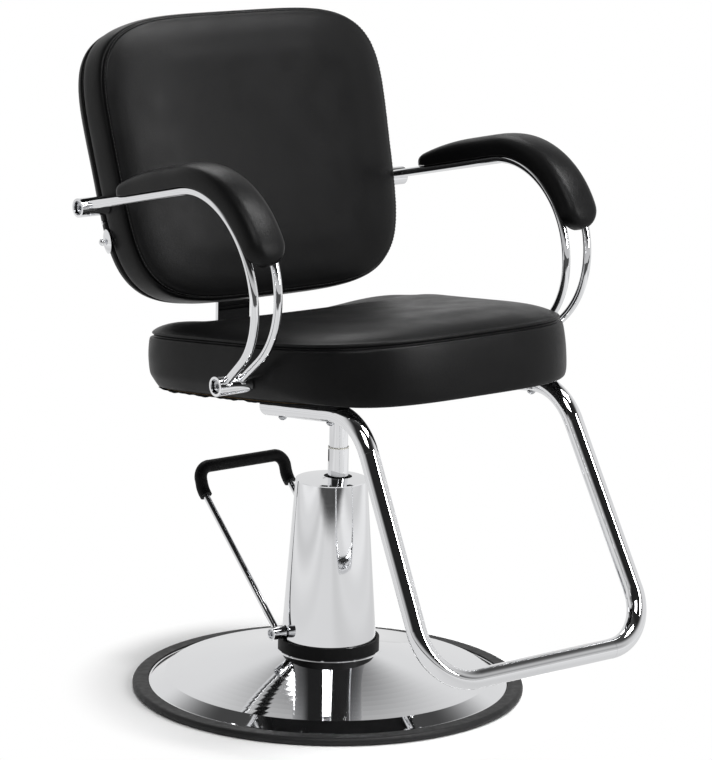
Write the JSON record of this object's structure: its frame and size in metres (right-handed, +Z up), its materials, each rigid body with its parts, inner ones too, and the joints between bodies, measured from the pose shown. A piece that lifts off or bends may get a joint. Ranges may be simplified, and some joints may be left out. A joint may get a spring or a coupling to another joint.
{
  "type": "hairdressing chair",
  "caption": "Hydraulic styling chair: padded seat and back, looped arms with pads, bent-tube footrest, lifting and turning column, round base with foot lever.",
  "frame": {"origin": "on the floor at the middle of the round base, on the base plate's underside", "axes": "+Z up, the sitter faces -Y, the sitter's right hand is on the -X side; the ram and the upper chair's middle plane are at x = +12 mm"},
  "size_m": [0.639, 0.8256, 0.9843],
  "materials": {
    "chrome": "bright mirror chrome plate",
    "steel": "bright machined steel",
    "cast_iron": "cast, painted black",
    "rubber": "matt black rubber",
    "bronze": "turned bearing bronze",
    "nylon": "natural nylon",
    "plywood": "raw plywood",
    "black_leather": "black upholstery leather, fine grain, soft sheen",
    "black_cloth": "black non-woven lining cloth"
  },
  "bodies": {
    "base": {"base_plate": "cast_iron", "base_pan": "chrome", "base_rim": "rubber", "pump_body": "cast_iron", "pump_bolts": "steel", "guide_bush": "bronze", "gland_nut": "steel", "wiper_seal": "rubber", "plunger_spring": "steel", "cover_ring": "rubber", "column_cover": "chrome", "cover_cap": "chrome"},
    "lever": {"lever_shaft": "steel", "foot_lever": "chrome", "lever_grip": "rubber", "lever_screws": "steel", "lever_rocker": "steel"},
    "plunger": {"pump_plunger": "steel"},
    "ram": {"ram": "chrome", "ram_piston": "steel", "piston_seals": "rubber", "thrust_washer": "nylon"},
    "chair": {"post": "chrome", "mount_plate": "cast_iron", "plate_bolts": "steel", "footrest": "chrome", "footrest_caps": "chrome", "footrest_bolts": "steel", "seat_board": "plywood", "seat_cushion": "black_leather", "dust_cover": "black_cloth", "back_bar": "chrome", "bar_bolts": "steel", "back_board": "plywood", "back_cushion": "black_leather", "back_panel": "black_leather", "left_arm": "chrome", "right_arm": "chrome", "left_arm_pad": "black_leather", "right_arm_pad": "black_leather", "pad_screws": "steel", "arm_bolts": "steel", "side_washer": "chrome", "side_screws": "chrome"}
  },
  "joints": [
    {"name": "lift", "type": "slide", "parent": "base", "child": "ram", "axis": [0, 0, 1], "range_m": [-0.044, 0.086]},
    {"name": "swivel", "type": "hinge", "parent": "ram", "child": "chair", "pos_m": [0.012, 0, 0.367], "axis": [0, 0, 1], "continuous": true},
    {"name": "pump_lever", "type": "hinge", "parent": "base", "child": "lever", "pos_m": [0, 0.02, 0.091], "axis": [-1, 0, 0], "range_deg": [0, 24], "stiffness_Nm_per_rad": 3, "springref_deg": -34.38},
    {"name": "pump_stroke", "type": "slide", "parent": "base", "child": "plunger", "axis": [0, 0, -1], "range_m": [0, 0.0068], "deforming": ["plunger_spring"]}
  ],
  "couplings": [
    {"joint": "pump_stroke", "follows": "pump_lever", "m_per_rad": 0.016}
  ]
}
